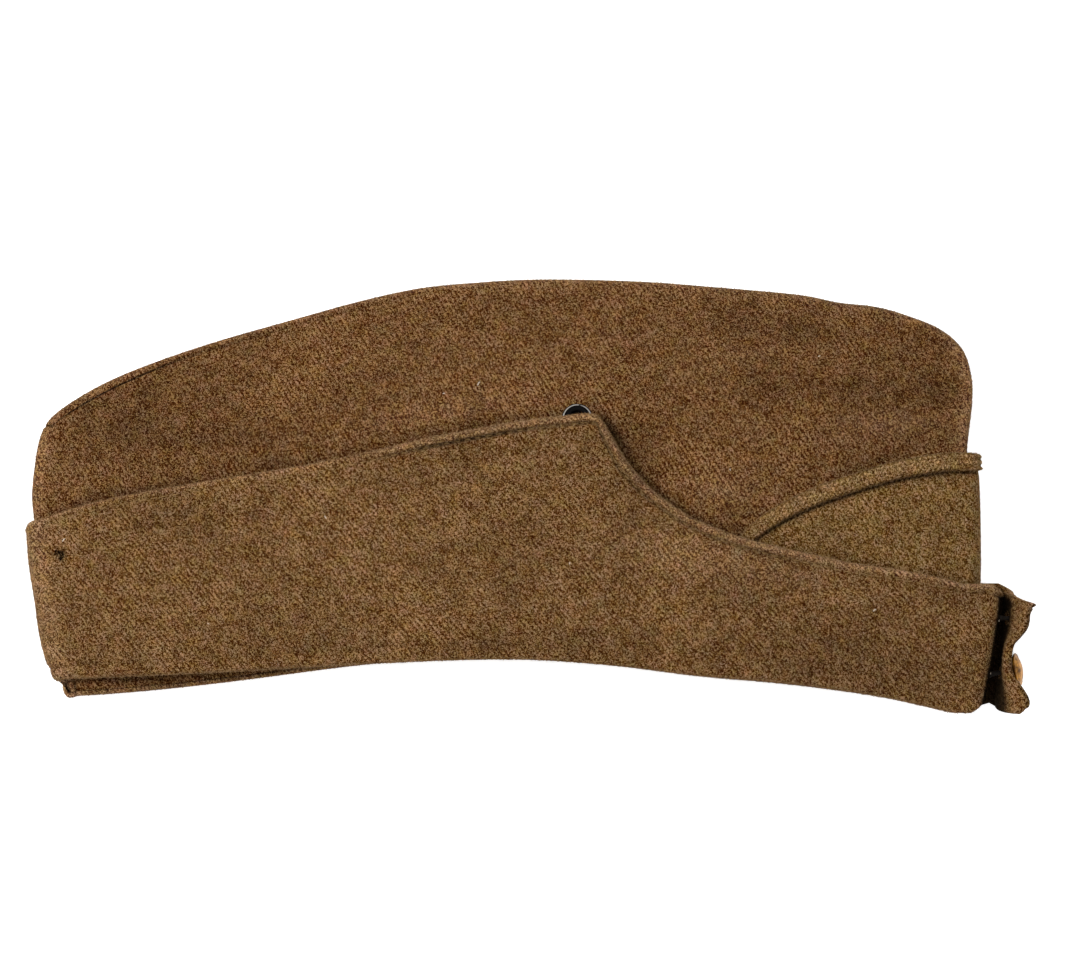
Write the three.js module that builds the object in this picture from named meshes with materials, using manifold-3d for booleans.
// A garrison cap of wool serge. It lies flat on its left side, front towards +X and ridge towards +Y.
// Two crown panels meet at a seam along the rear, the ridge and the front. A soft peak is turned up
// round the front, and two side curtains are turned up from the rim. The left curtain laps over the
// right one at the front, where two shank buttons hold it. The head goes in from -Y.
import * as THREE from "three";
import { mergeVertices } from "three/addons/utils/BufferGeometryUtils.js";
import Module from "manifold-3d";

const wasm = await Module();
wasm.setup();

// Driving sizes, in millimetres.
const crownLength = 283; // rear fold to front fold, over the cloth
const crownHeight = 128.4; // lowest end of the crown's bottom edge to the top of the ridge
const rimArch = 11.5; // how far the rim rises between its two ends
const crownWall = 1.6; // one layer of serge
const peakWall = 2.4; // two layers
const curtainWall = 2.4; // two layers
const edgeBevel = 0.7; // rounding of a curtain's top edge
const rimLip = 2.2; // cloth turned under the crown's bottom edge
const peakRoll = 1.1; // how far the peak's rolled edge stands above its field
const peakRollWidth = 6;
const pressedGap = 1; // left inside a pressed fold
const mouthGape = 18; // how far the sides stand apart at the middle of the rim
const ridgeLift = 0.4; // the ridge's underside above the table
const layerGap = 0.3; // between layers that lie on each other
const lipGap = 0.6; // between the crown's bottom edge and the cloth turned under it
const peakHem = 1; // the peak's hidden lower edge above the rim
const seamGap = 0.3; // between two pieces sewn edge to edge
const leftDrop = 5.2; // the left side shows this far below the right one at the rear
const leftShift = 3.6; // and its rear corner lies this far forward
const curtainLift = 1.3; // the curtains' points stand off the crown
const bendRadius = 4; // outside of the curtains' bends at the front
const lapSlackTop = 4.4; // room between the peak and the lap, at the curtain's top edge
const lapSlackBottom = 2.2; // the same at the rim
const tabGapTop = 1.5; // between the right curtain's end and the tab, at the top edge
const tabGapBottom = 4; // the same at the rim
const lapTopFall = 5.6; // how far the top edge falls on its way round the lap
const lapCornerRise = 2.6; // how far the lap's lower edge rises in the bend
const tabCornerDroop = 0.4; // how far the tab's lower corner hangs below the rim
const lipRunOut = 2.5; // past the front fold, where the turned-in lip ends
const tabHeight = 15; // free edge of the tab above the table
const tabFlare = 7.2; // how far the tab's lower corner leans out
const tabCornerRound = 1.8;
const buttonDiameter = 10;
const buttonDome = 2; // height of the dome above the button's back
const buttonRim = 0.9; // height of the button's edge
const buttonTurnedEdge = 0.4; // width of the edge round the dome
const buttonStandOff = 1.4; // button's back above the tab
const shankDiameter = 2.8;
const shankClearance = 0.5; // round the shank in its hole
const eyeletDiameter = 9.4;
const eyeletBore = 4.6;
const eyeletFlange = 0.6;
const eyeletSleeve = 0.5; // wall of the eyelet's barrel
const eyeletTurnOver = 0.8; // width of the barrel's end turned over inside the crown
const eyeletSeat = 0.25; // between the eyelet and the cloth
const eyeletClearance = 0.2; // round the barrel in its hole

// Where things lie, as shares.
const rearCorner = 0.166; // of the crown outline's length, where the rear fold becomes the ridge
const frontCorner = 0.764; // where the ridge becomes the front fold
const leftDropEnd = 0.36; // of the rim, where the two sides lie in line again
const sinkStart = 0.69; // of the grid's height, where the crown begins to sink to the table
const peakTip = 0.735; // of the rim, where the peak's hidden end lies
const peakRollFade = 0.033; // of the rim, over which the roll begins
const peakEase = 0.09; // of the rim, over which the curtain climbs onto the peak
const eyeletAlong = 0.587; // of the crown's grid
const eyeletUp = 0.624;
const pointSpreadAlong = 0.16; // of the grid, how far round the eyelet the curtain stands off
const pointSpreadUp = 0.36;
const pointPlateau = 0.4; // of the spread, level round the eyelet
const lapBendWay = 0.4; // share of the way round the lap that its bend takes
const tabRoundStart = 0.85; // of the tab's straight part, where its lower corner begins to round
const buttonReach = 0.34; // of the tab's straight part, up from the table

// Buttons: share of the curtain's height at the lap, and angles in degrees towards the ridge and the table.
const buttonPlacings = {
  upper: { share: 0.755, turn: 0, dip: 14 },
  lower: { share: 0.28, turn: 10, dip: 5 },
};

// Colours and finishes as the photo shows them.
const looks = {
  crown: { color: "#6a4a2b", roughness: 0.95 },
  curtain: { color: "#6f4f33", roughness: 0.95 },
  peak: { color: "#6d5333", roughness: 0.95 },
  eyelet: { color: "#17150f", roughness: 0.4, metalness: 0.6 },
  button: { color: "#a8742c", roughness: 0.35, metalness: 1 },
};

// How finely the cloth is cut into faces: places along the rim, and shares of each piece's height.
const peakColumns = [0.735, 0.766, 0.786, 0.808, 0.835, 0.87, 0.9, 0.93, 0.965, 1];
const sideColumns = [
  0, 0.03, 0.07, 0.12, 0.18, 0.24, 0.3, 0.36, 0.42, 0.47, 0.52, 0.56, 0.59, 0.607, 0.616, 0.626,
  0.636, 0.648, 0.662, 0.68, 0.703, 0.735, 0.766, 0.786, 0.808, 0.835, 0.87, 0.9, 0.93, 0.965, 1,
];
const crownRows = [1, 0.95, 0.89, 0.78, 0.68, 0.56, 0.48, 0.38, 0.26, 0.13, 0];
const plainRows = [0.8, 0.6, 0.4, 0.2, 0.08, 0];
const tabRows = [0.93, 0.85, 0.76, 0.68, 0.6, 0.52, 0.44, 0.36, 0.26, 0.17, 0.06, 0];
const peakRows = 5;
const holeSegments = 16;
const eyeletSegments = 16;
const buttonSegments = 18;
const buttonDomeRings = 4;

// The crown's outline, from the rim's rear end over the ridge to its front end, as shares of its size.
const crownOutline = [
  { along: 0.0286, up: 0.0748 },
  { along: 0.018, up: 0.157 },
  { along: 0.0117, up: 0.25 },
  { along: 0.0053, up: 0.344 },
  { along: 0.0032, up: 0.414 },
  { along: 0, up: 0.484 },
  { along: 0.0021, up: 0.554 },
  { along: 0.0074, up: 0.624 },
  { along: 0.018, up: 0.671 },
  { along: 0.0435, up: 0.715 },
  { along: 0.0838, up: 0.764 },
  { along: 0.137, up: 0.811 },
  { along: 0.2, up: 0.857 },
  { along: 0.275, up: 0.904 },
  { along: 0.349, up: 0.949 },
  { along: 0.412, up: 0.979 },
  { along: 0.476, up: 0.993 },
  { along: 0.545, up: 1 },
  { along: 0.646, up: 0.995 },
  { along: 0.731, up: 0.981 },
  { along: 0.816, up: 0.964 },
  { along: 0.858, up: 0.946 },
  { along: 0.9, up: 0.935 },
  { along: 0.937, up: 0.911 },
  { along: 0.969, up: 0.88 },
  { along: 0.991, up: 0.834 },
  { along: 1, up: 0.769 },
  { along: 1, up: 0.706 },
  { along: 0.996, up: 0.636 },
  { along: 0.994, up: 0.577 },
  { along: 0.996, up: 0.437 },
  { along: 0.996, up: 0.285 },
  { along: 0.993, up: 0.157 },
  { along: 0.985, up: 0 },
];

// The rim's rise above the straight line between its ends, as a share of rimArch.
const rimProfile = [
  { along: 0, rise: 0 },
  { along: 0.19, rise: 0.39 },
  { along: 0.38, rise: 0.81 },
  { along: 0.51, rise: 1 },
  { along: 0.61, rise: 0.94 },
  { along: 0.71, rise: 0.75 },
  { along: 0.82, rise: 0.6 },
  { along: 0.92, rise: 0.35 },
  { along: 1, rise: 0 },
];

// The curtain's top edge, as shares of the crown's grid.
const curtainEdge = [
  { along: 0, up: 0.595 },
  { along: 0.08, up: 0.583 },
  { along: 0.18, up: 0.57 },
  { along: 0.26, up: 0.564 },
  { along: 0.34, up: 0.565 },
  { along: 0.42, up: 0.582 },
  { along: 0.52, up: 0.614 },
  { along: 0.57, up: 0.631 },
  { along: 0.607, up: 0.639 },
  { along: 0.616, up: 0.612 },
  { along: 0.636, up: 0.526 },
  { along: 0.662, up: 0.455 },
  { along: 0.703, up: 0.392 },
  { along: 0.745, up: 0.357 },
  { along: 0.786, up: 0.337 },
  { along: 0.835, up: 0.323 },
  { along: 0.9, up: 0.315 },
  { along: 1, up: 0.33 },
];

// The peak's top edge, as shares of the crown's grid.
const peakEdge = [
  { along: peakTip, up: 0.27 },
  { along: 0.766, up: 0.358 },
  { along: 0.786, up: 0.412 },
  { along: 0.808, up: 0.456 },
  { along: 0.863, up: 0.532 },
  { along: 0.918, up: 0.592 },
  { along: 0.96, up: 0.638 },
  { along: 1, up: 0.682 },
];

// How far the tab's free edge leans out, from its lower corner to its upper one, as a share of tabFlare.
const tabEdge = [
  { along: 0, out: 1 },
  { along: 0.06, out: 0.88 },
  { along: 0.17, out: 0.5 },
  { along: 0.26, out: 0.17 },
  { along: 0.36, out: 0.05 },
  { along: 0.52, out: 0.08 },
  { along: 0.6, out: 0.35 },
  { along: 0.68, out: 0.57 },
  { along: 0.76, out: 0.64 },
  { along: 0.85, out: 0.63 },
  { along: 0.93, out: 0.85 },
  { along: 1, out: 0.9 },
];

const RIGHT = 1; // the upper side as the cap lies
const LEFT = -1; // the side on the table
const SIDES = { right: RIGHT, left: LEFT };
const FLAT = Math.PI / 2; // fold angle of cloth that lies flat
const toRadians = THREE.MathUtils.degToRad;
const { lerp, smoothstep } = THREE.MathUtils;
const steps = (count) => Array.from({ length: count + 1 }, (_, i) => i / count);

// Reads a table at one place, with a curve through its rows.
function readTable(rows, column, along) {
  const after = rows.findIndex((row) => row.along >= along);
  if (after === -1) return rows[rows.length - 1][column];
  if (after === 0) return rows[0][column];
  const slopeBetween = (a, b) => (b[column] - a[column]) / (b.along - a.along);
  const a = rows[after - 1];
  const b = rows[after];
  const slopeA = slopeBetween(rows[Math.max(after - 2, 0)], b);
  const slopeB = slopeBetween(a, rows[Math.min(after + 1, rows.length - 1)]);
  const span = b.along - a.along;
  const t = (along - a.along) / span;
  const s = 1 - t;
  const held = a[column] * (1 + 2 * t) * s * s + b[column] * (1 + 2 * s) * t * t;
  return held + span * t * s * (slopeA * s - slopeB * t);
}

const curtainTop = (along) => readTable(curtainEdge, "up", along);
const peakTop = (along) => readTable(peakEdge, "up", along);

// Layers of cloth, as heights above the fold's axis.
const crownInner = pressedGap / 2;
const crownOuter = crownInner + crownWall;
const peakInner = crownOuter + layerGap;
const peakOuter = peakInner + peakWall;

// The curtain's point is held off the crown by the eyelet under it.
function pointLift(along, up) {
  const away = Math.hypot((along - eyeletAlong) / pointSpreadAlong, (up - eyeletUp) / pointSpreadUp);
  return curtainLift * (1 - smoothstep(away, pointPlateau, 1));
}

// The curtain lies on the crown at the rear and on the peak at the front.
function curtainInner(along, up) {
  const onPeak = smoothstep(along, peakTip - peakEase, peakTip);
  return crownOuter + layerGap + onPeak * (peakWall + layerGap) + pointLift(along, up);
}

const curtainOuter = (along, up) => curtainInner(along, up) + curtainWall;

const outlineCurve = new THREE.SplineCurve(
  crownOutline.map(({ along, up }) => new THREE.Vector2(along * crownLength, up * crownHeight)),
);
outlineCurve.arcLengthDivisions = 600;

// The direction out of the crown's outline, in plan.
function outlineNormal(share) {
  const t = outlineCurve.getTangentAt(share);
  return new THREE.Vector2(-t.y, t.x);
}

// The axis that the cloth folds about, inside the crown's outline.
function foldAxis(share) {
  return outlineCurve.getPointAt(share).addScaledVector(outlineNormal(share), -crownOuter);
}

const rearShare = (up) => rearCorner * up;
const ridgeShare = (along) => lerp(rearCorner, frontCorner, along);
const frontShare = (up) => 1 - (1 - frontCorner) * up;

// How far the left side is out of line with the right one.
function leftOffset(side, fade) {
  const share = side === LEFT ? fade : 0;
  return new THREE.Vector2(leftShift * share, -leftDrop * share);
}

function rearEdge(side, up) {
  return foldAxis(rearShare(up)).add(leftOffset(side, (1 - up) ** 3));
}

function rimEdge(side, along) {
  const p = foldAxis(0).lerp(foldAxis(1), along);
  p.y += rimArch * readTable(rimProfile, "rise", along);
  return p.add(leftOffset(side, 1 - smoothstep(along, 0, leftDropEnd)));
}

// The grid that all layers of one side share: along from the rear to the front, up from rim to ridge.
function plan(side, along, up) {
  return new THREE.Vector2()
    .addScaledVector(rimEdge(side, along), 1 - up)
    .addScaledVector(foldAxis(ridgeShare(along)), up)
    .addScaledVector(rearEdge(side, up), 1 - along)
    .addScaledVector(foldAxis(frontShare(up)), along)
    .addScaledVector(rearEdge(side, 0), -(1 - along) * (1 - up))
    .addScaledVector(rearEdge(side, 1), -(1 - along) * up)
    .addScaledVector(foldAxis(1), -along * (1 - up))
    .addScaledVector(foldAxis(frontCorner), -along * up);
}

// Height of the seam plane: the left curtain lies on the table, and the crown sinks to the table above it.
function seamHeight(along, up) {
  const onTable = curtainOuter(along, up);
  const sunk = crownOuter + ridgeLift;
  return seamGap / 2 + lerp(onTable, sunk, smoothstep(up, sinkStart, 1));
}

// How far the right side stands up from the left one.
function gape(side, along, up) {
  return side === RIGHT ? mouthGape * Math.sin(Math.PI * along) * Math.cos(FLAT * up) : 0;
}

// A point of a layer. Fold is the angle about the fold's axis, 0 in the seam.
// Edge is its place on the outline.
function place(side, { along, up, layer, fold = FLAT, edge = null, drop = 0 }) {
  const p = plan(side, along, up);
  const height = seamHeight(along, up) + side * (seamGap / 2 + layer * Math.sin(fold));
  if (edge !== null) p.addScaledVector(outlineNormal(edge), layer * Math.cos(fold));
  return new THREE.Vector3(p.x, p.y - drop, height + gape(side, along, up));
}

// A geometry as a manifold-3d solid, with its faces turned out.
function solidOf(geometry) {
  const corners = (geometry.index ? geometry.toNonIndexed() : geometry).getAttribute("position");
  const merged = mergeVertices(new THREE.BufferGeometry().setAttribute("position", corners), 1e-3);
  const triangles = [];
  for (let i = 0; i < merged.index.count; i += 3) {
    const [a, b, c] = merged.index.array.slice(i, i + 3);
    if (a !== b && b !== c && c !== a) triangles.push(a, b, c);
  }
  const build = (triVerts) =>
    new wasm.Manifold(
      new wasm.Mesh({
        numProp: 3,
        vertProperties: new Float32Array(merged.getAttribute("position").array),
        triVerts: new Uint32Array(triVerts),
      }),
    );
  const solid = build(triangles);
  return solid.volume() > 0 ? solid : build(triangles.reverse());
}

// A closed solid between two grids of points of the same size, the faces of one piece of cloth.
function slab(outer, inner) {
  const lastColumn = outer.length - 1;
  const lastRow = outer[0].length - 1;
  const corners = [];
  const quad = (a, b, c, d) => corners.push(a, b, c, a, c, d);
  for (let i = 0; i < lastColumn; i++) {
    for (let j = 0; j < lastRow; j++) {
      quad(outer[i][j], outer[i][j + 1], outer[i + 1][j + 1], outer[i + 1][j]);
      quad(inner[i][j], inner[i + 1][j], inner[i + 1][j + 1], inner[i][j + 1]);
    }
    quad(outer[i][0], outer[i + 1][0], inner[i + 1][0], inner[i][0]);
    quad(outer[i][lastRow], inner[i][lastRow], inner[i + 1][lastRow], outer[i + 1][lastRow]);
  }
  for (let j = 0; j < lastRow; j++) {
    quad(outer[0][j], inner[0][j], inner[0][j + 1], outer[0][j + 1]);
    quad(outer[lastColumn][j], outer[lastColumn][j + 1], inner[lastColumn][j + 1], inner[lastColumn][j]);
  }
  return solidOf(new THREE.BufferGeometry().setFromPoints(corners));
}

// A turned body with its axis from a point along a direction.
function turned(profile, segments, origin, direction) {
  const lathe = new THREE.LatheGeometry(
    profile.map(([radius, height]) => new THREE.Vector2(radius, height)),
    segments,
  );
  const turn = new THREE.Quaternion().setFromUnitVectors(new THREE.Vector3(0, 1, 0), direction);
  lathe.applyQuaternion(turn).translate(origin.x, origin.y, origin.z);
  return solidOf(lathe);
}

// A cylinder to cut a hole with.
const drill = (radius, from, to, origin, direction) =>
  turned([[0, from], [radius, from], [radius, to], [0, to]], holeSegments, origin, direction);

const foldAngles = [0, FLAT / 3, (FLAT * 2) / 3];
const rearFold = foldAngles.map((fold) => ({ along: 0, fold }));
const frontFold = foldAngles.map((fold) => ({ along: 1, fold })).reverse();
const flatColumns = (places) => places.map((along) => ({ along, fold: FLAT }));

// The place on the outline where a column at one of the two ends folds.
const endEdge = (along, up) => (along === 0 ? rearShare(up) : frontShare(up));

// Eyelets, set square to the cloth where it stands off below the curtain's point.
function eyeletFrame(side) {
  const at = (along, up) => place(side, { along, up, layer: crownOuter });
  const origin = at(eyeletAlong, eyeletUp);
  const forwards = at(eyeletAlong + 0.01, eyeletUp).sub(origin);
  const upwards = at(eyeletAlong, eyeletUp + 0.01).sub(origin);
  const direction = forwards.cross(upwards).multiplyScalar(side).normalize();
  return { origin, direction };
}

const eyeletBarrel = eyeletBore / 2 + eyeletSleeve;

function eyelet(side) {
  const { origin, direction } = eyeletFrame(side);
  const seat = eyeletSeat;
  const back = -crownWall - eyeletSeat;
  const profile = [
    [eyeletBore / 2, back - eyeletSleeve],
    [eyeletBarrel + eyeletTurnOver, back - eyeletSleeve],
    [eyeletBarrel + eyeletTurnOver, back],
    [eyeletBarrel, back],
    [eyeletBarrel, seat],
    [eyeletDiameter / 2, seat],
    [eyeletDiameter / 2, seat + eyeletFlange / 2],
    [eyeletDiameter / 2 - eyeletFlange / 2, seat + eyeletFlange],
    [eyeletBore / 2 + eyeletFlange / 2, seat + eyeletFlange],
    [eyeletBore / 2, seat + eyeletFlange / 2],
    [eyeletBore / 2, back - eyeletSleeve],
  ];
  return turned(profile, eyeletSegments, origin, direction);
}

// Crown panels: a grid over the whole side, turned over the fold's axis at rear, ridge and front.
function crownPanel(side) {
  const columns = [...rearFold, ...flatColumns(sideColumns), ...frontFold];
  const rows = [
    ...foldAngles.map((fold) => ({ up: 1, fold })),
    ...crownRows.map((up) => ({ up, fold: FLAT })),
  ];
  const grid = (layer) =>
    columns.map(({ along, fold: columnFold }) =>
      rows.map(({ up, fold: rowFold }) => {
        const fold = Math.min(columnFold, rowFold);
        const onRidge = rowFold < FLAT;
        const edge = onRidge ? ridgeShare(along) : endEdge(along, up);
        return place(side, { along, up, layer, fold, edge: fold < FLAT ? edge : null });
      }),
    );
  const { origin, direction } = eyeletFrame(side);
  const hole = drill(eyeletBarrel + eyeletClearance, -3 * crownWall, 2 * crownWall, origin, direction);
  return slab(grid(crownOuter), grid(crownInner)).subtract(hole);
}

// Rows of the peak's section, from its rolled top edge down to its hidden lower edge.
function peakSection(along) {
  const roll = peakRoll * smoothstep(along, peakTip + peakRollFade, peakTip + 3 * peakRollFade);
  const top = peakTop(along);
  const below = (depth, rise) => ({ up: top - depth / crownHeight, rise });
  const rollFoot = top - peakRollWidth / crownHeight;
  return [
    below(0, roll / 2 - edgeBevel),
    below(peakRollWidth / 5, roll),
    below((peakRollWidth * 3) / 5, roll),
    ...steps(peakRows).map((share) => ({ up: lerp(rollFoot, peakHem / crownHeight, share), rise: 0 })),
  ];
}

// The peak: one piece round the front fold, with a roll along its top edge that fades under the curtains.
function peak() {
  const half = [...flatColumns(peakColumns), ...frontFold];
  const columns = [
    ...half.map((column) => ({ side: RIGHT, ...column })),
    ...half.map((column) => ({ side: LEFT, ...column })).reverse(),
  ];
  const grid = (outside) =>
    columns.map(({ side, along, fold }) =>
      peakSection(along).map(({ up, rise }) => {
        const layer = outside ? peakOuter + rise : peakInner;
        return place(side, { along, up, layer, fold, edge: fold < FLAT ? frontShare(up) : null });
      }),
    );
  return slab(grid(true), grid(false));
}

// Stations of a curtain's front end: first the bend, then the straight part up to its free edge.
const lapBend = [
  { turn: 0, reach: 0, way: 0, beforeBend: true },
  ...steps(3).map((share) => ({ turn: share * FLAT, reach: 0, way: lapBendWay * share })),
];
const lapStraight = (reaches) =>
  reaches.map((reach) => ({ turn: FLAT, reach, way: lerp(lapBendWay, 1, reach) }));
const lapColumns = {
  [RIGHT]: [...lapBend, ...lapStraight([0.5, 1])],
  [LEFT]: [...lapBend, ...lapStraight([0.25, 0.45, 0.65, 0.82, 0.94, 1])],
};
const bendInner = bendRadius - curtainWall;
const powerNear = (share, power) => (1 - share) ** power;

// Where the lap's straight part stands: the right curtain's end inside, the left curtain's tab outside it.
function lapInner(side, up) {
  const share = Math.min(up / curtainTop(1), 1);
  const rightInner = foldAxis(frontShare(up)).x + peakOuter + lerp(lapSlackBottom, lapSlackTop, share);
  return side === RIGHT ? rightInner : rightInner + curtainWall + lerp(tabGapBottom, tabGapTop, share);
}

// A point of a curtain's front end. The right one bends down to the left one, which bends up outside it.
function lapPlace(side, { up, layer, drop = 0 }, { turn, reach, way, beforeBend = false }) {
  const share = Math.min(up / curtainTop(1), 1);
  const start = place(side, { along: 1, up, layer, drop });
  if (beforeBend) return start.setX(start.x + lipRunOut);
  const depth = layer - curtainInner(1, up);
  const radius = bendInner + depth;
  const axisHeight = start.z - side * radius;
  const endHeight = side === RIGHT ? curtainWall + layerGap : tabHeight;
  const lean = side === LEFT ? tabFlare * readTable(tabEdge, "out", share) * reach ** 2 : 0;
  const x = lapInner(side, up) - bendInner + radius * Math.sin(turn) + lean;
  const z = lerp(axisHeight + side * radius * Math.cos(turn), endHeight, reach);
  const fall = lapTopFall * (side === RIGHT ? Math.min(way, lapBendWay) : way) * share ** 3;
  const rightRise = lapCornerRise * Math.min(way / lapBendWay, 1);
  const rounding = tabCornerRound * smoothstep(reach, tabRoundStart, 1);
  const leftRise = lapCornerRise * (1 - way) ** 2 - tabCornerDroop * way + rounding;
  const rise = (side === RIGHT ? rightRise : leftRise) * powerNear(share, 6);
  const y = start.y - fall + rise;
  return new THREE.Vector3(x, y, z);
}

// Rows of a curtain's section, from its top edge down to the lip turned in under the crown's bottom edge.
const lipAngles = steps(5).slice(1).map((share) => toRadians(150 * share));

function curtainRows(shares) {
  return [
    { share: 1, bevel: edgeBevel },
    { share: 1 - edgeBevel / (0.4 * crownHeight), bevel: 0 },
    ...shares.map((share) => ({ share, bevel: 0 })),
    ...lipAngles.map((lip) => ({ share: 0, bevel: 0, lip })),
  ];
}

function curtainPoint({ share, bevel, lip = 0 }, along, outside, lipDepth) {
  const up = share * curtainTop(along);
  const inner = curtainInner(along, up);
  const outer = inner + curtainWall;
  const deepest = Math.min(lipDepth, inner);
  const lipEnd = lipAngles[lipAngles.length - 1];
  if (!outside) {
    const layer = lerp(inner, deepest, lip / lipEnd);
    return { up, layer, drop: share === 0 ? lipGap : 0 };
  }
  const half = (outer - deepest) / (1 - Math.cos(lipEnd));
  const layer = outer - bevel - half * (1 - Math.cos(lip));
  const drop = lip > 0 ? lipGap + (rimLip - lipGap) * Math.sin(lip) : 0;
  return { up, layer, drop };
}

// Curtains: turned up from the rim, round the rear fold to the seam, and on into the lap at the front.
function curtain(side) {
  const rows = curtainRows(side === LEFT ? tabRows : plainRows);
  const columns = [...rearFold, ...flatColumns(sideColumns)];
  const grid = (outside) => [
    ...columns.map(({ along, fold }) =>
      rows.map((row) => {
        const point = curtainPoint(row, along, outside, crownInner);
        return place(side, { along, ...point, fold, edge: fold < FLAT ? rearShare(point.up) : null });
      }),
    ),
    ...lapColumns[side].map((station) =>
      rows.map((row) => lapPlace(side, curtainPoint(row, 1, outside, curtainInner(1, 0)), station)),
    ),
  ];
  return slab(grid(true), grid(false));
}

// Buttons: domed shank buttons sewn to the right curtain's end, through holes in the tab.
function buttonFrame({ share, turn, dip }) {
  const up = share * curtainTop(1);
  const layer = curtainOuter(1, up);
  const reach = buttonReach;
  const origin = lapPlace(LEFT, { up, layer }, { turn: FLAT, reach, way: lerp(lapBendWay, 1, reach) });
  const direction = new THREE.Vector3(
    Math.cos(toRadians(turn)) * Math.cos(toRadians(dip)),
    Math.sin(toRadians(turn)),
    -Math.sin(toRadians(dip)),
  ).normalize();
  const sewnTo = lapInner(RIGHT, up) + curtainWall;
  const slope = Math.hypot(direction.y, direction.z) / direction.x;
  const shankLength = (origin.x - sewnTo - layerGap) / direction.x - (shankDiameter / 2) * slope;
  return { origin, direction, shankLength };
}

function button(placing) {
  const { origin, direction, shankLength } = buttonFrame(placing);
  const radius = buttonDiameter / 2;
  const shank = shankDiameter / 2;
  const rim = buttonStandOff + buttonRim;
  const domeHeight = buttonDome - buttonRim;
  const dome = steps(buttonDomeRings).slice(1).map((share) => {
    const angle = share * FLAT;
    return [(radius - buttonTurnedEdge) * Math.cos(angle), rim + domeHeight * Math.sin(angle)];
  });
  const profile = [
    [0, -shankLength],
    [shank, -shankLength],
    [shank, buttonStandOff + buttonRim / 3],
    [radius - buttonTurnedEdge, buttonStandOff],
    [radius, buttonStandOff + buttonRim / 3],
    [radius, rim - buttonRim / 3],
    [radius - buttonTurnedEdge, rim],
    ...dome,
  ];
  return turned(profile, buttonSegments, origin, direction);
}

function withButtonholes(tab) {
  return Object.values(buttonPlacings).reduce((cloth, placing) => {
    const { origin, direction } = buttonFrame(placing);
    const radius = shankDiameter / 2 + shankClearance;
    return cloth.subtract(drill(radius, -2 * curtainWall, curtainWall, origin, direction));
  }, tab);
}

// A named mesh of one solid, with its own material.
function meshOf(name, solid, { color, roughness, metalness = 0 }) {
  const { numProp, vertProperties, triVerts } = solid.getMesh();
  const positions = new Float32Array((vertProperties.length / numProp) * 3);
  for (let i = 0; i * 3 < positions.length; i++) {
    positions.set(vertProperties.subarray(i * numProp, i * numProp + 3), i * 3);
  }
  const geometry = new THREE.BufferGeometry();
  geometry.setAttribute("position", new THREE.BufferAttribute(positions, 3));
  geometry.setIndex(new THREE.BufferAttribute(new Uint32Array(triVerts), 1));
  geometry.computeVertexNormals();
  const mesh = new THREE.Mesh(geometry, new THREE.MeshStandardMaterial({ color, roughness, metalness }));
  mesh.name = name;
  return mesh;
}

const cap = new THREE.Group();
cap.name = "garrison_cap";
for (const [name, side] of Object.entries(SIDES)) {
  const cloth = curtain(side);
  cap.add(meshOf(`crown_${name}`, crownPanel(side), looks.crown));
  cap.add(meshOf(`curtain_${name}`, side === LEFT ? withButtonholes(cloth) : cloth, looks.curtain));
  cap.add(meshOf(`eyelet_${name}`, eyelet(side), looks.eyelet));
}
cap.add(meshOf("peak", peak(), looks.peak));
for (const [name, placing] of Object.entries(buttonPlacings)) {
  cap.add(meshOf(`button_${name}`, button(placing), looks.button));
}

// The frame's origin is on the table, at the middle of the cap in plan.
const box = new THREE.Box3().setFromObject(cap);
const middle = box.getCenter(new THREE.Vector3());
for (const mesh of cap.children) mesh.geometry.translate(-middle.x, -middle.y, -box.min.z);

export default cap;
